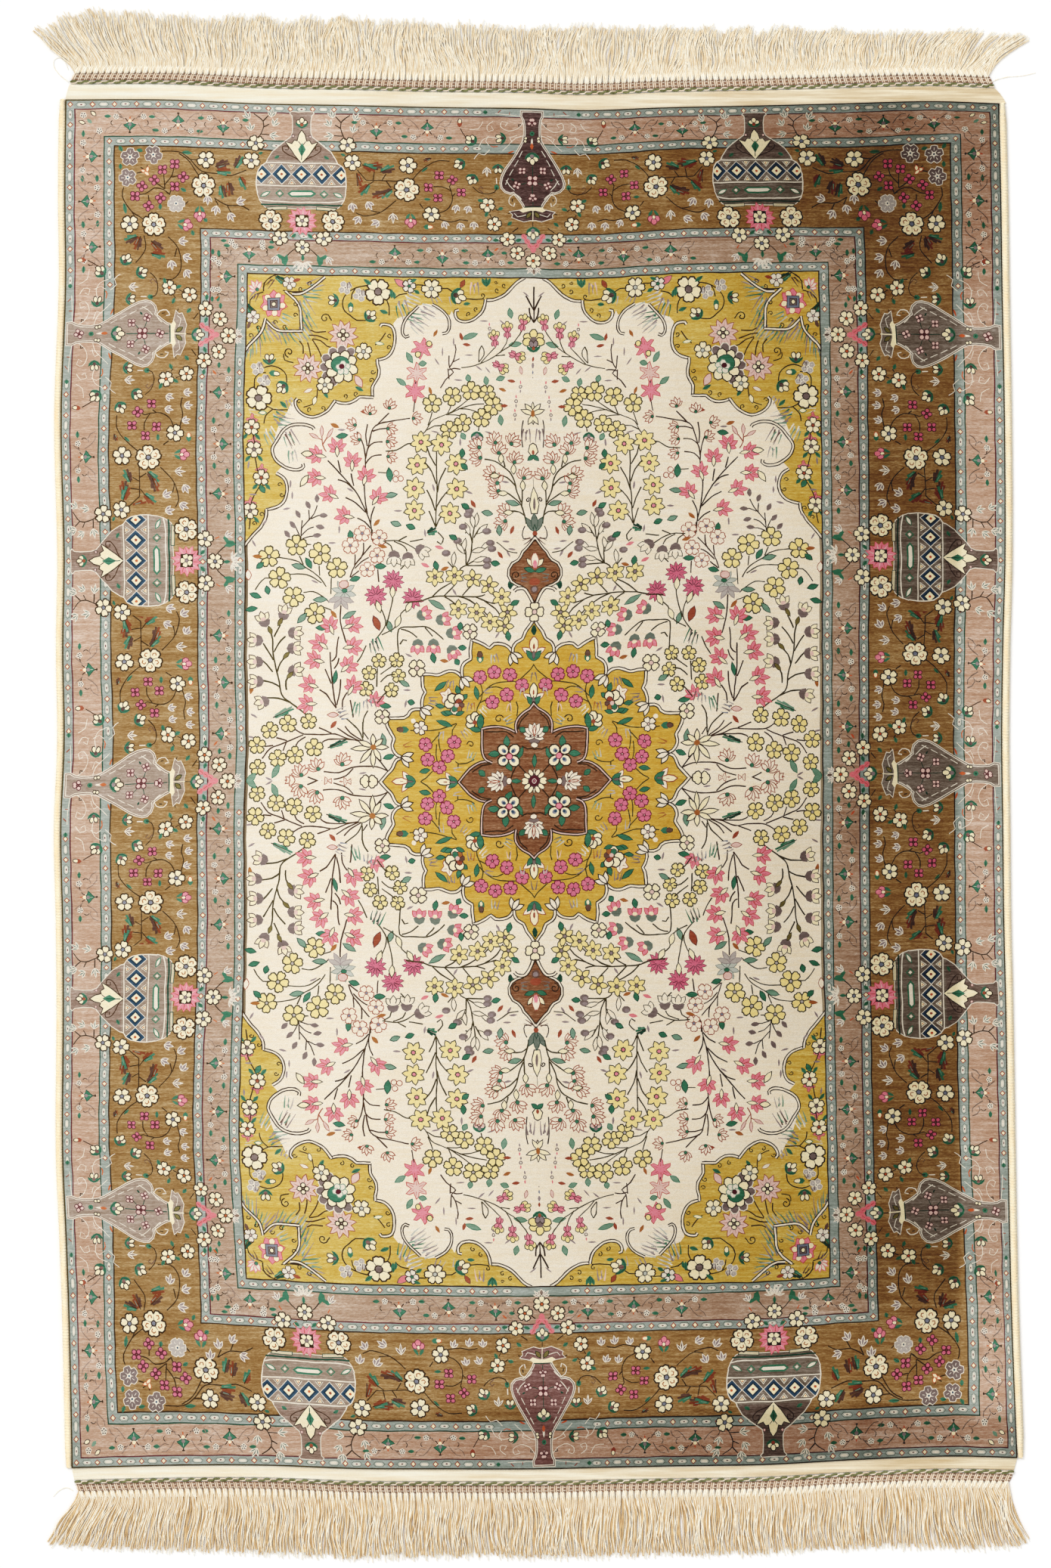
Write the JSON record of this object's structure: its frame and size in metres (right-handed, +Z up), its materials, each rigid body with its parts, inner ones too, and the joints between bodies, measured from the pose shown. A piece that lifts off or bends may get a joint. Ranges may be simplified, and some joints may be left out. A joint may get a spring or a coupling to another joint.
{
  "type": "persian rug",
  "caption": "Flat hand-knotted silk rug with a floral medallion field, vase borders, flat-woven ends, overcast sides and a fringe at both ends.",
  "frame": {"origin": "middle of the whole rug's box, fringes included, on the floor that it lies on", "axes": "+Z up through the pile, +Y along the rug towards the picture's upper fringe, +X across it to the picture's right"},
  "size_m": [1.0614, 1.6622, 0.004],
  "materials": {
    "pile": "clipped silk pile with a soft sheen, patterned in gold, ivory, dusty pink, blue-grey and teal",
    "selvedge": "overcast cream silk",
    "twined_row": "olive green twined cotton",
    "heading": "cream warp bars stitched with brown thread",
    "fringe": "matte cream warp threads"
  },
  "bodies": {
    "root": {"rug_body": "pile", "selvedge_left": "selvedge", "selvedge_right": "selvedge", "twined_row_top": "twined_row", "twined_row_bottom": "twined_row", "heading_top": "heading", "heading_bottom": "heading", "fringe_top": "fringe", "fringe_bottom": "fringe"}
  },
  "joints": []
}
